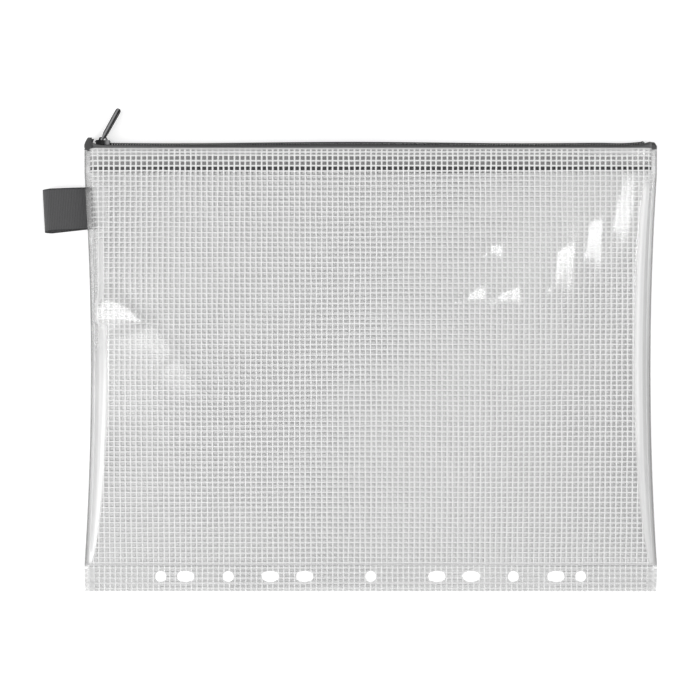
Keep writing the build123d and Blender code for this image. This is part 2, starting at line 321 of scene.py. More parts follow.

# Front panel film: the same film, domed over the pouch. A narrow flat margin is welded to the back, a wall
# rises from it and turns over a soft brow, and the top runs on to the lip along the zip. It is denser and
# whiter on the walls and in some soft patches, painted glare, and painted shade darkens the walls and the
# side edges.
margin_z = 2 * film_thickness
lip_overhang = 0.0012
front_lip = lip_y + lip_overhang
seam_width = 0.0025
bulge = 0.0114
band_share = 0.82
crown = 0.001
fold_run, side_run, run_ease = 0.0022, 0.0092, 0.16
band_pinch = 0.0030
wall_turn_share = 1.35
steepest_wall = 1.45
climb_start, climb_gain, climb_ease = 0.02, 1.01, 0.2
push_run, push_fold, push_top, push_fade, push_edge = 0.0062, 0.0205, 0.028, 0.006, 0.0007
wall_columns, level_columns, seam_columns = 22, 186, 7
front_rows = 166
column_knots, column_places = [0, 0.27, 0.62, 1], [-1, -0.66, 0.36, 1]
row_knots, row_heights = [0, 0.28, 1], [fold_y, -0.025, front_lip]
ribbon_y, ribbon_half, ribbon_lift = 0.0851, 0.0135, 0.001
crease_rise, crease_swell, crease_fade = 0.003, 0.3, 0.006
glare_tilt = 0.4
upper_left_glare, glare_top, glare_fade = 0.45, -0.004, 0.006
open_left, open_right, open_fade = 0.0700, 0.0990, 0.0022
# Painted shade on the walls, darker within a few millimetres of the side edges.
wall_painted_shade, edge_painted_shade, edge_reach = 0.03, 0.62, 0.0022
tail_glare, tail_end, tail_edge = 0.36, 0.0125, 0.0003
fold_glare, low_reach = 0.10, 0.035
lip_glare, lip_band = 0.30, 0.0040
bond_y, bond_half, bond_clear = 0.1078, 0.0020, 0.45
# Soft patches of painted glare, where the film is made denser and whiter.
painted_glare_patches = [
    # x, y, lean in degrees, half length, half width, level
    (-0.1280, 0.0095, -20, 0.0150, 0.0060, 0.19),
    (-0.1105, -0.0080, -48, 0.0150, 0.0072, 0.15),
    (0.1013, 0.0620, 33, 0.0400, 0.0180, 0.22),
]
creases = [
    # x, y, lean in degrees, half length, half width, crest, taper
    (0.1443, 0.0889, -11, 0.0225, 0.0056, 0.00086, 0.0),
    (0.1270, 0.0665, -8, 0.0165, 0.0057, 0.00096, 0.0),
    (0.1095, 0.0514, -5, 0.0165, 0.0058, 0.00110, 0.1),
    (0.0709, 0.0616, -5, 0.0050, 0.0044, 0.00108, 0.0),
    (0.0780, 0.0355, 5, 0.0060, 0.0076, 0.00178, 0.3),
    (0.0590, 0.0365, 8, 0.0058, 0.0076, 0.00170, 0.6),
    (-0.1445, 0.0275, 17, 0.0125, 0.0130, 0.00196, 0.85),
    (-0.1270, 0.0060, 40, 0.0140, 0.0118, 0.00066, 0.0),
    (-0.1060, -0.0155, 35, 0.0135, 0.0070, 0.00050, 0.0),
]


def wall_shape(y, side):
    """The dome's section at y: rise, turn angle, arc radius, straight length and the brow's distance.

    The film climbs fast from the fold, levels out and sinks a little to the zip band. At each side an arc
    turns down from the brow by the turn angle, and a straight wall runs on to the welded margin. The left
    wall is pushed out over one sharp fold, which eases off above it.
    """
    share = np.clip((y - fold_y) / (band_y - fold_y), 0, 1)
    climb = climb_start + climb_gain * (1 - np.exp(-share / climb_ease))
    rise = bulge * climb * (1 - (1 - band_share) * share**3)
    pushed = np.exp(-((np.clip(y - push_top, 0, None) / push_fade) ** 2))
    pushed = pushed / (1 + np.exp((push_fold - y) / push_edge))
    run = fold_run + (side_run - fold_run) * (1 - np.exp(-share / run_ease)) - band_pinch * share**6
    run = run - push_run * pushed * (side < 0)
    turn = np.minimum(wall_turn_share * np.arctan2(rise, run), steepest_wall)
    fall = 1 - np.cos(turn)
    radius = (run * np.sin(turn) - rise * np.cos(turn)) / fall
    straight = (rise * np.sin(turn) - run * fall) / fall
    return share, rise, turn, radius, straight, side_x(y) - seam_width - run


def relief(x, y):
    """Creases pressed into the film, each a short climb and then a long slope down towards the near side.

    Along its length a crease holds its height and ends within a few millimetres. The taper is the share of
    its length that it has lost, at its upper end, by the crest.
    """
    height = np.zeros(np.broadcast(x, y).shape)
    for crease_x, crease_y, lean, half_length, half_width, crest, taper in creases:
        angle = math.radians(lean)
        near = math.copysign(1, crease_x)
        along = -(x - crease_x) * math.sin(angle) + (y - crease_y) * math.cos(angle)
        aside = near * ((x - crease_x) * math.cos(angle) + (y - crease_y) * math.sin(angle))
        climb = (aside + half_width + crease_rise) / crease_rise
        slope = np.clip((half_width - aside) / (2 * half_width), 0, 1)
        lost = taper * slope**3 * half_length
        ends = 1 + ((along + lost) / (half_length - lost)) ** 8
        swell = slope - crease_swell * np.sin(2 * math.pi * slope) / (2 * math.pi)
        height += crest * np.clip(np.minimum(climb, swell), 0, 1) / ends
    return height


def over_ribbon(y):
    """How far y is over the ribbon's tail: 1 between its edges, and soon 0 beyond them."""
    return 1 / (1 + ((y - ribbon_y) / ribbon_half) ** 12)


def front_surface(distance, y):
    """Points on the front film's outer face at a distance from its centre line, along the film.

    The film runs level to the brow, round the arc, down the straight wall and out along the margin. The
    crown, the creases and the lift over the ribbon's tail are added to its height.
    """
    share, rise, turn, radius, straight, brow = wall_shape(y, distance)
    past = np.abs(distance) - brow
    angle = np.clip(past / radius, 0, turn)
    down = np.clip(past - radius * turn, 0, straight)
    margin = np.clip(past - radius * turn - straight, 0, None)
    x = np.minimum(np.abs(distance), brow) + radius * np.sin(angle) + down * np.cos(turn) + margin
    x = np.sign(distance) * x
    z = margin_z + rise - radius * (1 - np.cos(angle)) - down * np.sin(turn)
    level = np.clip(1 - (distance / brow) ** 2, 0, 1)
    z += crown * 4 * share * (1 - share) * level
    z += relief(x, y) * np.exp(-((np.clip(past, 0, None) / crease_fade) ** 2))
    near_seam = np.clip(1 - (z - margin_z) / (3 * ribbon_lift), 0, 1)
    z += ribbon_lift * over_ribbon(y) * (distance < 0) * near_seam
    return joined(x, y, z)


def film_distance(shares, y):
    """Distances along the film for shares from -3 to 3: level up to 1, wall up to 2, margin up to 3."""
    turn, radius, straight, brow = wall_shape(y, shares)[2:]
    size = np.abs(shares)
    reach = np.clip(size, 0, 1) * brow + np.clip(size - 1, 0, 1) * (radius * turn + straight)
    return np.sign(shares) * (reach + np.clip(size - 2, 0, 1) * seam_width)


def front_normal(distance, y):
    """Outward directions of the front film, from small steps across and along it."""
    step = 0.0002
    across = front_surface(distance + step, y) - front_surface(distance - step, y)
    along = front_surface(distance, y + step) - front_surface(distance, y - step)
    return unit(np.cross(across, along))


def film_at(x, y):
    """The distance along the film of the point at x in plan: level, round the brow, down the wall."""
    turn, radius, straight, brow = wall_shape(y, x)[2:]
    past = np.clip(np.abs(x) - brow, 0, None)
    round_run, wall_run = radius * np.sin(turn), straight * np.cos(turn)
    reach = radius * np.arcsin(np.clip(past / radius, 0, np.sin(turn)))
    reach = reach + np.clip(past - round_run, 0, wall_run) / np.cos(turn)
    reach = reach + np.clip(past - round_run - wall_run, 0, None)
    return np.sign(x) * (np.minimum(np.abs(x), brow) + reach)


def wall_tilt(distance, y):
    """The angle that the film has turned down: its length past the brow over the arc's radius."""
    turn, radius, straight, brow = wall_shape(y, distance)[2:]
    return np.clip((np.abs(distance) - brow) / radius, 0, turn)


def wall_shown(distance, y):
    """How plainly the wall shows at y: fully below, and not at all near the zip, where it is see-through."""
    return 1 / (1 + np.exp((y - np.where(distance < 0, open_left, open_right)) / open_fade))


right_shares = np.concatenate(
    [np.linspace(1, 2, wall_columns)[1:], np.linspace(2, 3, seam_columns)[1:]]
)
level_shares = np.interp(np.linspace(0, 1, level_columns), column_knots, column_places)
column_shares = np.concatenate([-right_shares[::-1], level_shares, right_shares])
front_y = np.interp(np.linspace(0, 1, front_rows), row_knots, row_heights)[:, None]
front_distance = film_distance(column_shares, front_y)
front_points = front_surface(front_distance, front_y)
front_lay = joined(front_points[..., 0] / thread_pitch, (front_y - fold_y) / row_pitch - 0.5)
front_film = add_piece(
    "front_film", front_points, [grid_faces(front_rows, len(column_shares))], film_finish, front_lay
)
# Painted glare: the walls denser and whiter, less so on the upper left and not near the zip.
glare_level = np.clip(wall_tilt(front_distance, front_y) / glare_tilt, 0, 1)
lower_left = 1 / (1 + np.exp((front_y - glare_top) / glare_fade))
glare_level *= np.where(front_distance < 0, upper_left_glare + (1 - upper_left_glare) * lower_left, 1.0)
glare_level *= wall_shown(front_distance, front_y)
from_side = side_x(front_y) - np.abs(front_points[..., 0])
# Painted shade: the walls a little darker, and much darker close to the side edges.
painted_shade_level = wall_painted_shade * glare_level + edge_painted_shade * np.exp(-((from_side / edge_reach) ** 2))
over_tail = over_ribbon(front_y) / (1 + np.exp((from_side - tail_end) / tail_edge))
glare_level = np.maximum(glare_level, tail_glare * over_tail * (front_distance < 0))
# Painted glare: the film whiter towards the fold.
glare_level = np.maximum(glare_level, fold_glare * np.exp(-(((front_y - fold_y) / low_reach) ** 2)))
glare_level = np.maximum(glare_level, lip_glare * (front_y > front_lip - lip_band))
for patch_x, patch_y, lean, half_length, half_width, level in painted_glare_patches:
    angle = math.radians(lean)
    off_x, off_y = front_points[..., 0] - patch_x, front_y - patch_y
    along = off_x * math.cos(angle) + off_y * math.sin(angle)
    aside = off_y * math.cos(angle) - off_x * math.sin(angle)
    glare_level = glare_level + level * np.exp(-((along / half_length) ** 2) - (aside / half_width) ** 2)
glare_level = glare_level - bond_clear * np.exp(-(((front_y - bond_y) / bond_half) ** 4))
for name, values in (("glare", glare_level), ("painted_shade", painted_shade_level)):
    layer = front_film.data.attributes.new(name, "FLOAT", "POINT")
    layer.data.foreach_set("value", values.astype(np.float32).ravel())
thicken(front_film, film_thickness, -1)
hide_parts("front_panel")
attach(front_film, "pouch")

# Front scrim: the same net in the front film. It follows the dome, bends with every crease and runs on down
# the side walls to the weld, where the film is stretched and the warps are pressed wider.
front_stations, probe_stations = 120, 240
film_middle = film_thickness / 2
shortest_warp = 0.006
steepest_spread = 0.4


def in_front_film(distance, y):
    """Thread centres in the middle of the front film, and the film's outward directions there."""
    normal = front_normal(distance, y)
    return front_surface(distance, y) - normal * film_middle, normal


probe_y = np.linspace(fold_y, front_lip, probe_stations)[None, :]
all_x = warp_index * thread_pitch
outside = np.abs(all_x) > side_x(probe_y) - seam_width
outer = outside.any(1)
first_out = probe_y[0, np.argmax(outside, 1)]
last_out = probe_y[0, ::-1][np.argmax(outside[:, ::-1], 1)]
warp_x = np.concatenate([all_x, all_x[outer]])
warp_start = np.concatenate([np.full(len(all_x), fold_y), last_out[outer]])
warp_end = np.concatenate([np.where(outer, first_out, front_lip), np.full(outer.sum(), front_lip)])
long_enough = warp_end - warp_start > shortest_warp
warp_x, warp_start, warp_end = warp_x[long_enough], warp_start[long_enough], warp_end[long_enough]
row_shares = np.interp(np.linspace(0, 1, front_stations), np.linspace(0, 1, front_rows), front_y[:, 0])
row_shares = (row_shares - fold_y) / (front_lip - fold_y)
warp_y = warp_start[:, None] + (warp_end - warp_start)[:, None] * row_shares
warp_distance = film_at(warp_x + wander(len(warp_x), front_stations), warp_y)
weft_y = fold_y + weft_index * row_pitch + wander(len(weft_index), front_stations)
wall_shares = column_shares[np.abs(column_shares) <= 2]
weft_shares = np.interp(np.linspace(0, 1, front_stations), np.linspace(0, 1, len(wall_shares)), wall_shares)
front_rings = []
for distance, y, spreads in ((warp_distance, warp_y, 1), (film_distance(weft_shares, weft_y), weft_y, 0)):
    centres, normal = in_front_film(distance, y)
    spread = spreads * wall_shown(distance, y)[..., None]
    width = thread_width / np.maximum(normal[..., 2:], steepest_spread) ** spread
    front_rings.append(thread_rings(centres, normal, width, thread_thickness))
front_rings = np.concatenate(front_rings)
front_rings[..., 2] = np.maximum(front_rings[..., 2], film_thickness)
front_scrim = add_threads("front_scrim", front_rings)
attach(front_scrim, "pouch")

# Side and lip welds: hazy ridges where both films are fused along each side, and where the front film is
# fused to the zip tape under its lip.
side_weld_width, lip_weld_width, weld_height = 0.0008, 0.0010, 0.0003
weld_stations = 90
lip_weld_reach = 1.9


def welded_film(name, shade, alpha):
    """Film that has been melted and pressed: greyer or whiter than the clear film, and finely pitted."""
    finish, shader = new_finish(name, grey(shade), 0.3)
    shader.inputs["Alpha"].default_value = alpha
    place = add_node(finish, "ShaderNodeTexCoord").outputs["Object"]
    press(finish, shader, noise(finish, place, 600.0, 4.0), 0.4, 0.0002)
    return finish


def weld_ridge(name, lines, width, finish, body):
    """A low lens-shaped ridge along each of the given lines."""
    rings = thread_rings(lines, upward, width, weld_height)
    piece = add_piece(name, rings, tube_faces(*rings.shape[:3]), finish)
    piece.data.shade_flat()
    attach(piece, body)


grey_weld = welded_film("grey_weld", 0.42, 0.42)
white_weld = welded_film("white_weld", 0.92, 0.30)
weld_y = np.linspace(fold_y, lip_y, weld_stations)
weld_x = side_x(weld_y) - side_weld_width / 2
side_lines = np.stack(
    [np.stack([side * weld_x, weld_y, np.full(weld_stations, margin_z)], -1) for side in (-1, 1)]
)
weld_ridge("side_welds", side_lines, side_weld_width, grey_weld, "pouch")
lip_weld_y = front_lip - lip_weld_width / 2
lip_shares = np.linspace(-lip_weld_reach, lip_weld_reach, weld_stations)
lip_distance = film_distance(lip_shares, lip_weld_y)[None, :]
weld_ridge("lip_weld", front_surface(lip_distance, lip_weld_y), lip_weld_width, white_weld, "pouch")

# Filing strip film: both films welded flat below the pouch and punched for ring binders. A weld line closes
# the pouch at the fold, and a second one runs under the holes.
strip_low, strip_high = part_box("filing_strip")
hole_up, band_below, band_above = 0.0085, 0.0034, 0.0045
hole_y = strip_low.y + hole_up
hole_radius = 0.0031
slot_core = 0.0018
round_x = (0.0, 0.0814, 0.12)
slot_x = (0.03775, 0.0574, 0.1058)
round_cell, slot_cell = 0.0048, 0.0066
hole_band = (hole_y - band_below, hole_y + band_above)
strip_lean, lean_share = 0.0006, 0.1
cell_columns, cell_rows, cell_rings = 20, 14, 6
lower_rows, upper_rows = 26, 14
plain_step = 0.003


def strip_place(x, y):
    """The strip's middle surface, whose ends lean in a little towards the bottom corners."""
    depth = np.clip((fold_y - y) / (fold_y - strip_low.y), 0, 1)
    end = np.clip((np.abs(x) - (1 - lean_share) * half_bag) / (lean_share * half_bag), 0, 1)
    return joined(x - np.sign(x) * strip_lean * end**2 * depth**2, y, margin_z / 2)


def hole_patch(centre, core, half_cell):
    """A patch from a hole's edge out to a rectangle round it, as rings of points that morph between the two.

    Each point of the rectangle is joined to the slot's edge along the line from a point on the slot's core.
    """
    low, high = hole_band
    ups, sides = np.linspace(low, high, cell_rows + 1), np.linspace(-half_cell, half_cell, cell_columns + 1)
    outer_x = np.concatenate(
        [np.full(cell_rows, half_cell), sides[:0:-1], np.full(cell_rows, -half_cell), sides[:-1]]
    )
    outer_y = np.concatenate(
        [ups[:-1], np.full(cell_columns, high), ups[:0:-1], np.full(cell_columns, low)]
    )
    core_x = outer_x * core / half_cell
    off = np.stack([outer_x - core_x, outer_y - hole_y], -1)
    edge = unit(off) * hole_radius
    share = np.linspace(0, 1, cell_rings)[:, None]
    x = centre + core_x + edge[:, 0] * (1 - share) + off[:, 0] * share
    y = hole_y + edge[:, 1] * (1 - share) + off[:, 1] * share
    around = len(outer_x)
    here = np.arange(cell_rings - 1)[:, None] * around + np.arange(around)
    following = np.arange(cell_rings - 1)[:, None] * around + (np.arange(around) + 1) % around
    faces = np.stack([here, here + around, following + around, following], -1).reshape(-1, 4)
    return strip_place(x, y).reshape(-1, 3), faces


def plain_patch(x, y):
    """A plain part of the strip on the grid of the given x and y places."""
    return strip_place(x[None, :], y[:, None]).reshape(-1, 3), grid_faces(len(y), len(x))


hole_kinds = [(x, 0.0, round_cell) for x in round_x] + [(x, slot_core, slot_cell) for x in slot_x]
holes = sorted({(side * x, core, cell) for side in (-1, 1) for x, core, cell in hole_kinds})
patches, row_places, reached = [], [], -half_bag
band_rows = np.linspace(*hole_band, cell_rows + 1)
for centre, core, half_cell in holes + [(half_bag, 0.0, 0.0)]:
    steps = int((centre - half_cell - reached) / plain_step) + 2
    gap_x = np.linspace(reached, centre - half_cell, steps)
    patches.append(plain_patch(gap_x, band_rows))
    row_places.append(gap_x[:-1])
    if half_cell:
        patches.append(hole_patch(centre, core, half_cell))
        row_places.append(np.linspace(centre - half_cell, centre + half_cell, cell_columns + 1)[:-1])
    reached = centre + half_cell
row_x = np.append(np.concatenate(row_places), half_bag)
patches.append(plain_patch(row_x, np.linspace(strip_low.y, hole_band[0], lower_rows)))
patches.append(plain_patch(row_x, np.linspace(hole_band[1], fold_y, upper_rows)))
firsts = np.cumsum([0] + [len(points) for points, faces in patches[:-1]])
strip_points = np.concatenate([points for points, faces in patches])
strip_faces = np.concatenate([faces + first for (points, faces), first in zip(patches, firsts)])
_, kept, merged = np.unique(np.round(strip_points, 7), axis=0, return_index=True, return_inverse=True)
strip_points = strip_points[kept]
strip_faces = merged.reshape(-1)[strip_faces]
strip_lay = (strip_points[:, :2] - (0, fold_y)) / (thread_pitch, row_pitch) - (0, 0.5)
# The fused strip is painted darker between the threads: a painted shade.
strip_finish = clear_film("fused_film", 0.38, 0.27)
strip_film = add_piece("strip_film", strip_points, [strip_faces], strip_finish, strip_lay)
thicken(strip_film, margin_z, 0)
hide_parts("filing_strip")
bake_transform(strip_film)

# Filing strip scrim: the two nets run on from the panels into the strip, one over the other, and end at the
# punched holes and at the cut lower edge.
strip_levels = (film_thickness / 2, margin_z - film_thickness / 2)
strip_stations = 25
strip_rows = 5
strip_edge, nearest = 0.0004, 1e-6


def hole_height(x):
    """Half the height that the holes leave open at x: a circle's, from the end of the slot's core."""
    tall = np.zeros(np.shape(x))
    for centre, core, half_cell in holes:
        off = np.clip(np.abs(x - centre) - core, 0, hole_radius)
        tall = np.maximum(tall, np.sqrt(hole_radius**2 - off**2))
    return tall


def strip_threads(x, y, level):
    """Threads of the strip's net along the given places, at their level in the fused films."""
    lines = strip_place(x, y)
    lines[..., 2] += level - margin_z / 2
    return thread_rings(lines, upward, thread_width, thread_thickness)


def trim_to_holes(rings):
    """Moves each point that lies in a hole out to the hole's edge, straight away from the slot's core."""
    for centre, core, half_cell in holes:
        off = rings[..., :2] - (centre, hole_y)
        off[..., 0] -= np.clip(off[..., 0], -core, core)
        far = np.linalg.norm(off, axis=-1, keepdims=True)
        move = off * (hole_radius / np.maximum(far, nearest) - 1)
        rings[..., :2] += np.where(far < hole_radius, move, 0)
    return rings


strip_rings = []
columns = warp_index[:, 0] * thread_pitch
rows = fold_y - (np.arange(strip_rows)[:, None] + 0.5) * row_pitch
end_x = half_bag - strip_lean - selvedge / 2
centres, cores, _ = np.array(holes).T
tall = hole_height(columns)
even_share = np.linspace(0, 1, strip_stations)
eased_share = (1 - np.cos(math.pi * even_share)) / 2
for level, tilt in zip(strip_levels, (weft_tilt, 0.0)):
    for start, end in ((fold_y, hole_y + tall), (hole_y - tall, strip_low.y + strip_edge)):
        start, end = np.broadcast_arrays(start, end)
        y = start[:, None] + (end - start)[:, None] * even_share
        strip_rings.append(strip_threads(columns[:, None], y, level))
    row_y = rows + tilt * (centres - meet_x) % row_pitch
    wide = np.sqrt(np.clip(hole_radius**2 - (row_y - hole_y) ** 2, 0, None))
    open_half = np.where(wide > 0, wide + cores, 0.0)
    starts = np.concatenate([np.full((strip_rows, 1), -end_x), centres + open_half], 1)
    ends = np.concatenate([centres - open_half, np.full((strip_rows, 1), end_x)], 1)
    x = (starts[..., None] + (ends - starts)[..., None] * eased_share).reshape(-1, strip_stations)
    shift = tilt * ((starts + ends) / 2 - meet_x) % row_pitch
    strip_rings.append(strip_threads(x, (rows + shift).reshape(-1, 1), level))
strip_rings = trim_to_holes(np.concatenate(strip_rings))
strip_scrim = add_threads("strip_scrim", strip_rings)
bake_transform(strip_scrim)

# Filing strip welds: a pressed ridge closes the pouch at the fold, a narrower one runs under the holes, and
# the strip's ends are fused like the pouch's sides.
fold_weld_width, strip_weld_width, end_weld_width = 0.0011, 0.0010, 0.0060
end_weld_top, end_weld_foot, end_weld_stations = 0.0015, 0.0003, 12
strip_weld_up, fold_weld_up = 0.00474, 0.0006
strip_weld_y, fold_weld_y = strip_low.y + strip_weld_up, fold_y + fold_weld_up

fold_distance = film_distance(np.linspace(-3, 3, weld_stations), fold_weld_y)
fold_lines = front_surface(fold_distance, fold_weld_y)[None]
weld_ridge("fold_weld", fold_lines, fold_weld_width, white_weld, "pouch")
strip_lines = strip_place(np.linspace(-half_bag, half_bag, weld_stations), strip_weld_y)[None]
strip_lines[..., 2] = margin_z
weld_ridge("strip_weld", strip_lines, strip_weld_width, white_weld, "strip")
end_y = np.linspace(strip_high.y - end_weld_top, strip_low.y + end_weld_foot, end_weld_stations)
end_lines = np.stack([strip_place(side * (half_bag - end_weld_width / 2), end_y) for side in (-1, 1)])
end_lines[..., 2] = margin_z
weld_ridge("end_welds", end_lines, end_weld_width, white_weld, "strip")

# Zip tapes: two woven dark polyester tapes. Each has a leg welded inside its panel, bends round at the lip
# and forms half of the end wall that carries the coil. At the corners they come down to the side welds.
tape_low, tape_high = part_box("front_tape")
rear_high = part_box("rear_tape")[1]
tape_thickness = 0.0005
tape_bend = 0.0009
tape_half = tape_thickness / 2
tape_selvedge, turn_selvedge = 0.0022, 0.0008
leg_overrun, mouth_gap = 0.0007, 0.0011
weld_fade, left_fade_share = 0.0008, 0.45
roof_y = tape_high.y - tape_half
leg_y = tape_low.y - leg_overrun
leg_end = lip_y - leg_y
turn_start = roof_y - turn_selvedge - leg_y
mouth_low, mouth_high = rear_high.z, 2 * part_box("front_coil")[0].z - rear_high.z + mouth_gap
tape_columns = 260
tape_steps = 9
pinched_z = film_thickness + tape_thickness + tape_half
lip_turn, slope_back = 0.0012, 0.001
reach_inside, reach_past_lip = 1.75, 1.2
rear_inset, rear_outset = 0.0008, 0.0005
bow_height, bow_length, bow_shift = 0.0004, 0.2, 0.012
corner_x, corner_run, corner_drop = 0.1617, 0.0018, 0.0022
zip_humps = [
    # x, half width, height
    (0.1605, 0.0050, 0.0021),
    (0.1420, 0.0080, -0.0004),
    (-0.1590, 0.0030, 0.0016),
]


def woven_tape():
    """Dark twill tape with fine slanting ribs, greyed where it is welded.

    Its two edges are black, and faded at the left end.
    """
    finish, shader = new_finish("zip_tape", (0.09, 0.09, 0.093, 1), 0.75)
    lay = add_node(finish, "ShaderNodeUVMap", uv_map="lay").outputs["UV"]
    turned = add_node(finish, "ShaderNodeMapping", {"Vector": lay, "Rotation": (0, 0, math.radians(35))})
    ribs = {"Vector": turned.outputs["Vector"], "Scale": 480.0, "Distortion": 0.6}
    rib = add_node(finish, "ShaderNodeTexWave", ribs).outputs["Fac"]
    mixed = calculate(finish, "MULTIPLY_ADD", rib, 0.6, noise(finish, lay, 1500.0, 3.0))
    shade = mix(finish, mixed, (0.04, 0.04, 0.041, 1), (0.085, 0.085, 0.088, 1))
    parts = add_node(finish, "ShaderNodeSeparateXYZ", {"Vector": lay}).outputs
    across, along = parts["X"], parts["Y"]
    past_weld = rescale(finish, along, {"From Min": leg_end, "From Max": leg_end + weld_fade})
    milky = mix(finish, past_weld, grey(0.15), shade)
    fade_end = (left_fade_share - 1) * half_bag
    unfaded = rescale(finish, across, {"From Min": -half_bag, "From Max": fade_end})
    black = mix(finish, unfaded, grey(0.11), (0.033, 0.033, 0.034, 1))
    at_edge = calculate(finish, "LESS_THAN", along, tape_selvedge)
    at_edge = calculate(finish, "MAXIMUM", at_edge, calculate(finish, "GREATER_THAN", along, turn_start))
    feed(finish, shader.inputs["Base Color"], mix(finish, at_edge, milky, black))
    press(finish, shader, mixed, 0.6, 0.00012)
    shader.inputs["Sheen Weight"].default_value = 0.15
    return finish


tape_finish = woven_tape()


def zip_bow(x):
    """How far the zip strays up at x: a slow wave, a hump at each end, a dip and round corners."""
    bow = bow_height * np.cos(2 * math.pi * (x + bow_shift) / bow_length)
    for hump_x, half_width, height in zip_humps:
        bow = bow + height * np.exp(-(((x - hump_x) / half_width) ** 2))
    return bow - corner_drop * np.clip((np.abs(x) - corner_x) / corner_run, 0, 1) ** 2


def tape_section(across, reach):
    """The front tape's x and z: columns across, up to a reach in film shares, just under the film."""
    distance = across * film_distance(reach, lip_y)
    outer, normal = front_surface(distance, lip_y), front_normal(distance, lip_y - slope_back)
    under = outer - normal * (film_thickness + tape_half)
    return under[..., 0], np.maximum(under[..., 2], pinched_z)


def tape_sheet(name, node, y, z, x, length):
    """One tape from side to side, from its rows of y and z and its columns of x."""
    y = y + zip_bow(x) * np.clip((y - lip_y) / (roof_y - lip_y), 0, 1)
    points = joined(x, y, z)
    lay = joined(x, length[:, None])
    piece = add_piece(name, points, [grid_faces(*points.shape[:2])], tape_finish, lay)
    thicken(piece, tape_thickness, 0)
    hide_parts(node)
    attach(piece, "pouch")


bend_radius = tape_bend - tape_half
bend = np.linspace(0, math.pi / 2, tape_steps)
leg_rows = np.linspace(leg_y, roof_y - bend_radius, 2 * tape_steps)[:-1]
rise_share = np.linspace(0, 1, tape_steps)[1:]
bend_y, bend_drop = roof_y - bend_radius + bend_radius * np.sin(bend), bend_radius * (1 - np.cos(bend))
path_y = np.concatenate([leg_rows, bend_y, np.full(len(rise_share), roof_y)])[:, None]
drop = np.concatenate([0 * leg_rows, bend_drop, np.full(len(rise_share), bend_radius)])[:, None]
wall_share = np.concatenate([0 * leg_rows, 0 * bend, rise_share])[:, None]
past_lip = np.clip((path_y - lip_y) / lip_turn, 0, 1)
tape_across = np.linspace(-1, 1, tape_columns)[None, :]
front_x, front_z = tape_section(tape_across, reach_inside + reach_past_lip * past_lip)
wall_drop = np.clip(front_z - bend_radius - mouth_high, 0, None)
path_length = np.concatenate([[0], np.cumsum(np.hypot(np.diff(path_y[:, 0]), np.diff(drop[:, 0])))])
front_length = path_length + wall_share[:, 0] * wall_drop.max()
hanging_z = front_z - drop - wall_share * wall_drop
tape_sheet("front_zip_tape", "front_tape", path_y, hanging_z, front_x, front_length)

rear_leg_z = film_thickness + tape_half
rear_half = tape_high.x - rear_inset + (half_bag - tape_high.x + rear_outset) * past_lip
rear_x = tape_across * rear_half
right_half = (-1, slice(tape_columns // 2, None))
room_above = np.interp(np.abs(rear_x), np.abs(front_x[right_half]), front_z[right_half])
wall_rise = np.clip(np.minimum(mouth_low, room_above - tape_thickness) - rear_leg_z - bend_radius, 0, None)
rear_z = rear_leg_z + np.minimum(drop, room_above - pinched_z) + wall_share * wall_rise
rear_length = path_length + wall_share[:, 0] * wall_rise.max()
tape_sheet("rear_zip_tape", "rear_tape", path_y, rear_z, rear_x, rear_length)

# Tape tails: the cut left ends of both tapes, of the same woven polyester. They are welded in at the foot
# and turn up beside the slider as stubby twisted flaps.
tail_rows, tail_columns = 24, 11
tail_left = np.array([[-0.1619, 0.1189], [-0.1644, 0.1206], [-0.1608, 0.1257]])
tail_right = np.array([[-0.1582, 0.1196], [-0.1598, 0.1228], [-0.1584, 0.1256]])
tail_arch = 0.0004
rear_tail_shift = (0.0006, -0.0004)


def tape_tail(name, node, shift_x, shift_y):
    """A flap ruled between two edges, each a quadratic curve of three points, and arched across.

    Its left edge lies lower than its right one.
    """
    low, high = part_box(node)
    share = np.linspace(0, 1, tail_rows)[:, None]
    edges = [
        (1 - share) ** 2 * edge[0] + 2 * share * (1 - share) * edge[1] + share**2 * edge[2]
        for edge in (tail_left, tail_right)
    ]
    across = np.linspace(0, 1, tail_columns)[None, :]
    x = edges[0][:, :1] * (1 - across) + edges[1][:, :1] * across + shift_x
    y = edges[0][:, 1:] * (1 - across) + edges[1][:, 1:] * across + shift_y
    z = low.z + tape_half + (high.z - low.z - tape_thickness) * across
    z = z + tail_arch * 4 * across * (1 - across)
    lay = joined(-x, 0 * y)
    faces = grid_faces(tail_rows, tail_columns)[:, ::-1]
    piece = add_piece(name, joined(x, y, z), [faces], tape_finish, lay)
    thicken(piece, tape_thickness, 0)
    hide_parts(node)
    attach(piece, "pouch")


tape_tail("front_tail_flap", "front_tape_tail", 0.0, 0.0)
tape_tail("rear_tail_flap", "rear_tape_tail", *rear_tail_shift)

# Zip coils: two coils of black nylon monofilament, flattened and sewn along the tapes' edges. Their loops
# interlock to the right of the slider and part to its left.
coil_pitch = 0.0015
wire_radius = 0.00026
wire_around = 6
loop_steps = 16
loop_inner, loop_outer, loop_square = -0.00055, 0.002, 0.18
spread, spread_full, spread_start = 0.0014, 0.0032, 0.00576
slider_low, slider_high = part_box("slider_body")
parting = (slider_low.x + spread_full, slider_low.x + spread_start)


def nylon_wire():
    """Black nylon: nearly smooth, with a soft, slightly uneven gloss."""
    finish, shader = new_finish("nylon_coil", (0.006, 0.006, 0.007, 1), 0.38)
    shader.inputs["Specular IOR Level"].default_value = 0.1
    place = add_node(finish, "ShaderNodeTexCoord").outputs["Object"]
    rough = rescale(finish, noise(finish, place, 2500.0, 2.0), {"To Min": 0.3, "To Max": 0.5})
    feed(finish, shader.inputs["Roughness"], rough)
    return finish


coil_finish = nylon_wire()


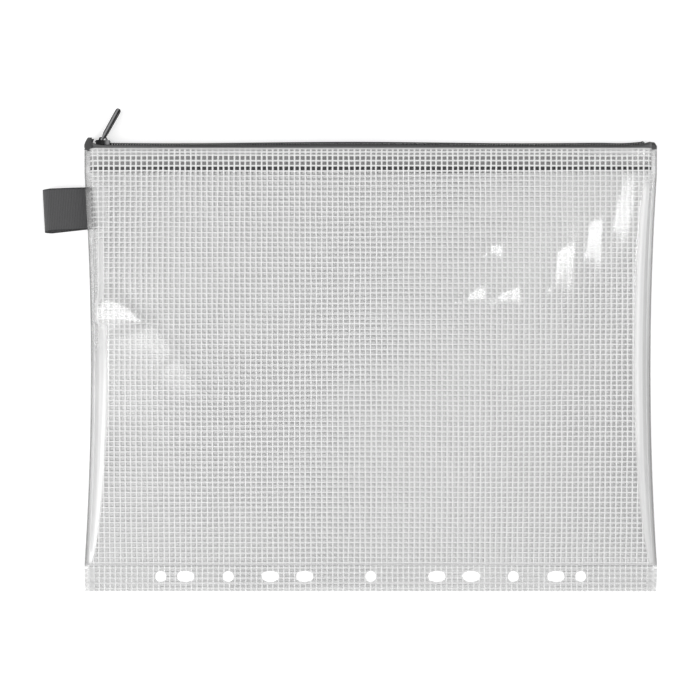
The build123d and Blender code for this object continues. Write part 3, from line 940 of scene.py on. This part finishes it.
def coil_spiral(name, node, side, shift):
    """A flattened helix: loops across the zip, one pitch apart, that lean off where the zip parts."""
    low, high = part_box(node)
    chain_z = (slider_low.z + slider_high.z) / 2
    turns = int((high.x - low.x) / coil_pitch) - 1
    phase = np.linspace(0, 2 * math.pi * turns, turns * loop_steps + 1)
    x = low.x + coil_pitch / 2 + shift + coil_pitch * phase / (2 * math.pi)
    apart = np.clip((parting[1] - x) / (parting[1] - parting[0]), 0, 1) * spread
    inner, outer = loop_inner + wire_radius, loop_outer - wire_radius
    middle, reach = (inner + outer) / 2, (outer - inner) / 2
    squared = np.cos(phase) * (1 + loop_square * np.sin(phase) ** 2)
    z = chain_z + side * (apart + middle + reach * squared)
    tall = (high.y - low.y) / 2
    y = low.y + tall + (tall - wire_radius) * np.sin(phase) + zip_bow(x)
    centres = joined(x, y, z)
    along = unit(np.gradient(centres, axis=0))
    first = unit(np.cross(along, np.array([1.0, 0.0, 0.0])))
    second = np.cross(along, first)
    turn = np.arange(wire_around) * 2 * math.pi / wire_around
    rings = centres[:, None] + wire_radius * (
        np.cos(turn)[None, :, None] * first[:, None] + np.sin(turn)[None, :, None] * second[:, None]
    )
    piece = add_piece(name, rings[None], tube_faces(1, len(centres), wire_around), coil_finish)
    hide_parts(node)
    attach(piece, "pouch")


coil_spiral("front_spiral", "front_coil", 1, 0.0)
coil_spiral("rear_spiral", "rear_coil", -1, coil_pitch / 2)

# Slider and pull: die-cast zinc with dark baked enamel. The slider's channels run on the coils, and the
# pull's cross bar turns under its bridge. Both keep the solids of the frame. Each has a painted highlight, a
# grey band across the slider near its right end and along the pull's length near its middle.
# Where the painted highlight bands lie on the slider and on the pull.
slider_highlight, slider_highlight_end = 0.0012, 0.0034
pull_highlight, pull_highlight_end = 0.0004, 0.0005


def dark_enamel(name, highlight_from, highlight_to):
    """Baked enamel on cast metal: almost black, smooth, with slight orange peel.

    A painted highlight lightens it to grey in a band, fully at the first place given and no more at the
    second or as far beyond.
    """
    finish, shader = new_finish(name, (0.02, 0.02, 0.021, 1), 0.28)
    place = add_node(finish, "ShaderNodeTexCoord").outputs["Object"]
    wear = noise(finish, place, 700.0, 5.0)
    shade = mix(finish, wear, grey(0.002), (0.014, 0.014, 0.015, 1))
    off = add_node(finish, "ShaderNodeVectorMath", {0: place, 1: highlight_from}, operation="SUBTRACT")
    reach = np.subtract(highlight_to, highlight_from)
    sockets = {0: off.outputs["Vector"], 1: tuple(reach / (reach @ reach))}
    across = add_node(finish, "ShaderNodeVectorMath", sockets, operation="DOT_PRODUCT").outputs["Value"]
    across = calculate(finish, "ABSOLUTE", across)
    # Painted highlight: grey over the band.
    painted_highlight = rescale(finish, across, {"To Min": 1.0, "To Max": 0.0}, interpolation_type="SMOOTHSTEP")
    feed(finish, shader.inputs["Base Color"], mix(finish, painted_highlight, shade, (0.26, 0.26, 0.265, 1)))
    press(finish, shader, noise(finish, place, 2200.0, 2.0), 0.2, 0.00004)
    shader.inputs["Specular IOR Level"].default_value = 0.08
    shader.inputs["Coat Weight"].default_value = 0.03
    shader.inputs["Coat Roughness"].default_value = 0.12
    return finish


pull_low, pull_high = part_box("pull_tab")
pull_lean = math.radians(61)
pull_middle = np.array([(pull_low.x + pull_high.x) / 2, (pull_low.y + pull_high.y) / 2, 0])
pull_side = np.array([math.sin(pull_lean), -math.cos(pull_lean), 0])
# Each part's painted highlight band: where it is strongest and where it ends.
enamels = {
    "slider_body": ((slider_high.x - slider_highlight, 0, 0), (slider_high.x - slider_highlight_end, 0, 0)),
    "pull_tab": (tuple(pull_middle - pull_highlight * pull_side), tuple(pull_middle + pull_highlight_end * pull_side)),
}
for name, (highlight_from, highlight_to) in enamels.items():
    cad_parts[name].data.materials.clear()
    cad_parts[name].data.materials.append(dark_enamel(name + "_enamel", highlight_from, highlight_to))

# Ribbon: a dark grosgrain ribbon folded into a loop. Both tails lie one on the other between the panels,
# welded into the left seam, and the loop stands open at its far end.
loop_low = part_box("ribbon_loop")[0]
ribbon_thickness, pressed_share = 0.0005, 0.92
ribbon_width, ribbon_selvedge_shade = 0.0242, 0.0007
ply_shear, ply_bow = 0.0011, 0.5
seat = np.array([-0.162874, 0.0857, 0.00085])
out = np.array([-0.998542, -0.053978, 0.0])
down_width = np.array([out[1], -out[0], 0.0])
loop_reach, loop_half_height = 0.0236, 0.0038
loop_radius = loop_half_height - ribbon_thickness / 2
ribbon_tail_length = 0.0105
ribbon_columns = 26
tail_steps, ply_steps, end_steps = 10, 24, 30


def grosgrain():
    """Ribbed ribbon: fine cords across its width under a tight warp, and firm dark selvedges with painted
    shade along them.
    """
    finish, shader = new_finish("grosgrain", (0.085, 0.085, 0.088, 1), 0.7)
    lay = add_node(finish, "ShaderNodeUVMap", uv_map="lay").outputs["UV"]
    ribs = {"Vector": lay, "Scale": 330.0, "Distortion": 0.3, "Detail": 1.0}
    rib = add_node(finish, "ShaderNodeTexWave", ribs, bands_direction="Y").outputs["Fac"]
    mixed = calculate(finish, "MULTIPLY_ADD", rib, 0.7, noise(finish, lay, 1600.0, 3.0))
    shade = mix(finish, mixed, (0.015, 0.015, 0.016, 1), (0.062, 0.062, 0.064, 1))
    across = add_node(finish, "ShaderNodeSeparateXYZ", {"Vector": lay}).outputs["X"]
    across = calculate(finish, "ABSOLUTE", across)
    # The selvedges are dark, with painted shade along the ribbon's edges.
    at_edge = calculate(finish, "GREATER_THAN", across, ribbon_width / 2 - ribbon_selvedge_shade)
    feed(finish, shader.inputs["Base Color"], mix(finish, at_edge, shade, (0.012, 0.012, 0.013, 1)))
    press(finish, shader, mixed, 0.7, 0.0002)
    shader.inputs["Sheen Weight"].default_value = 0.2
    return finish


def ribbon_path():
    """The ribbon's line out from the seam and up, and how far it strays sideways along its lower ply.

    It runs along the lower tail, lower ply, round end, bowed upper ply and upper tail.
    """
    ply = ribbon_thickness / 2
    end_out = loop_reach - loop_radius - ply
    end_up = loop_low.z + loop_radius + ply - seat[2]
    tilt = math.atan2(end_up, end_out)
    swing = math.asin((loop_radius - ply) / math.hypot(end_out, end_up))
    bend = np.linspace(tilt - swing - math.pi / 2, tilt + swing + math.pi / 2, end_steps)
    arc_out, arc_up = end_out + loop_radius * np.cos(bend), end_up + loop_radius * np.sin(bend)
    tail = np.linspace(-ribbon_tail_length, 0, tail_steps)
    ply_share = np.linspace(0, 1, ply_steps)[1:-1]
    lower_out, lower_up = ply_share * arc_out[0], -ply + ply_share * (arc_up[0] + ply)
    back_share = 1 - ply_share
    upper_out = back_share * arc_out[-1]
    upper_up = ply + (arc_up[-1] - ply) * back_share * (1 + ply_bow * ply_share)
    outs = np.concatenate([tail, lower_out, arc_out, upper_out, tail[::-1]])
    ups = np.concatenate([0 * tail - ply, lower_up, arc_up, upper_up, 0 * tail + ply])
    skews = np.concatenate([0 * tail, ply_share, np.linspace(1, 0, end_steps), 0 * ply_share, 0 * tail])
    return outs, ups, skews * ply_shear


outs, ups, skews = ribbon_path()
ribbon_length = np.concatenate([[0], np.cumsum(np.hypot(np.diff(outs), np.diff(ups)))])
width_places = np.linspace(-ribbon_width / 2, ribbon_width / 2, ribbon_columns)
ribbon_points = (
    seat
    + outs[:, None, None] * out
    + ups[:, None, None] * upward
    + (width_places[None, :, None] - skews[:, None, None]) * down_width
)
ribbon_lay = joined(width_places[None, :], ribbon_length[:, None])
ribbon = add_piece(
    "ribbon", ribbon_points, [grid_faces(len(outs), ribbon_columns)], grosgrain(), ribbon_lay
)
thicken(ribbon, pressed_share * ribbon_thickness, 0)
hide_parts("ribbon_loop", "ribbon_tail")
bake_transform(ribbon)

# Table, lamps and camera: a white table under soft studio light, looked at from straight above. Table and
# world are whiter to what looks at them, straight or through gloss and film, than as light on the wallet.
table_half = 4.0
table_drop = 0.0001
table_glow = 0.4
world_light = 0.560
camera_height = 1.6
view_centre = (-0.01183, 0.0049)
view_width = 0.4
sensor = 36.0


def seen_rays(owner):
    """1 for rays that look, straight, mirrored or through film, and 0 for rays that only light."""
    ray = add_node(owner, "ShaderNodeLightPath").outputs
    seen = calculate(owner, "MAXIMUM", ray["Is Camera Ray"], ray["Is Glossy Ray"])
    return calculate(owner, "MAXIMUM", seen, ray["Is Transmission Ray"])


table_finish, table_shader = new_finish("white_table", grey(0.8), 0.9)
table_shader.inputs["Specular IOR Level"].default_value = 0.0
table_shader.inputs["Emission Color"].default_value = grey(1)
glow = calculate(table_finish, "MULTIPLY", seen_rays(table_finish), table_glow)
feed(table_finish, table_shader.inputs["Emission Strength"], glow)
table_points = np.array([[-1, -1, 0], [1, -1, 0], [-1, 1, 0], [1, 1, 0]]) * table_half
table_points[:, 2] = back_low.z - table_drop
table = add_piece("table", table_points, [grid_faces(2, 2)], table_finish)

world = bpy.data.worlds.new("studio")
bpy.context.scene.world = world
world.use_nodes = True
backdrop = world.node_tree.nodes["Background"]
backdrop.inputs["Color"].default_value = grey(1)
world_level = rescale(world, seen_rays(world), {"To Min": world_light, "To Max": 1.0})
feed(world, backdrop.inputs["Strength"], world_level)


def softbox(name, x, y, z, width, height, level):
    """A rectangular lamp aimed at the wallet, whose surface is level times as bright as a white sheet."""
    lamp = bpy.data.lights.new(name, "AREA")
    lamp.shape = "RECTANGLE"
    lamp.size, lamp.size_y = width, height
    lamp.energy = level * math.pi * width * height
    holder = bpy.data.objects.new(name, lamp)
    bpy.context.scene.collection.objects.link(holder)
    holder.location = (x, y, z)
    aim = Vector((0, 0, 0)) - holder.location
    holder.rotation_euler = aim.to_track_quat("-Z", "Y").to_euler()


softbox("right_strip", 0.50, 0.145, 1.4, 0.12, 0.19, 10.5)
softbox("left_strip", -0.50, 0.0, 1.4, 0.14, 0.26, 11.0)
softbox("right_halo", 0.47, 0.13, 1.42, 0.30, 0.36, 2.2)
softbox("left_halo", -0.46, -0.04, 1.42, 0.30, 0.44, 2.4)
softbox("left_softbox", -1.2, -0.45, 0.75, 0.9, 1.6, 2.3)
softbox("right_softbox", 1.2, 0.2, 1.0, 0.8, 1.6, 1.7)

camera = bpy.data.cameras.new("camera")
camera.sensor_width = sensor
camera.lens = sensor * camera_height / view_width
camera_holder = bpy.data.objects.new("camera", camera)
bpy.context.scene.collection.objects.link(camera_holder)
camera_holder.location = (*view_centre, camera_height)
bpy.context.scene.camera = camera_holder
bpy.context.scene.view_settings.view_transform = "Standard"
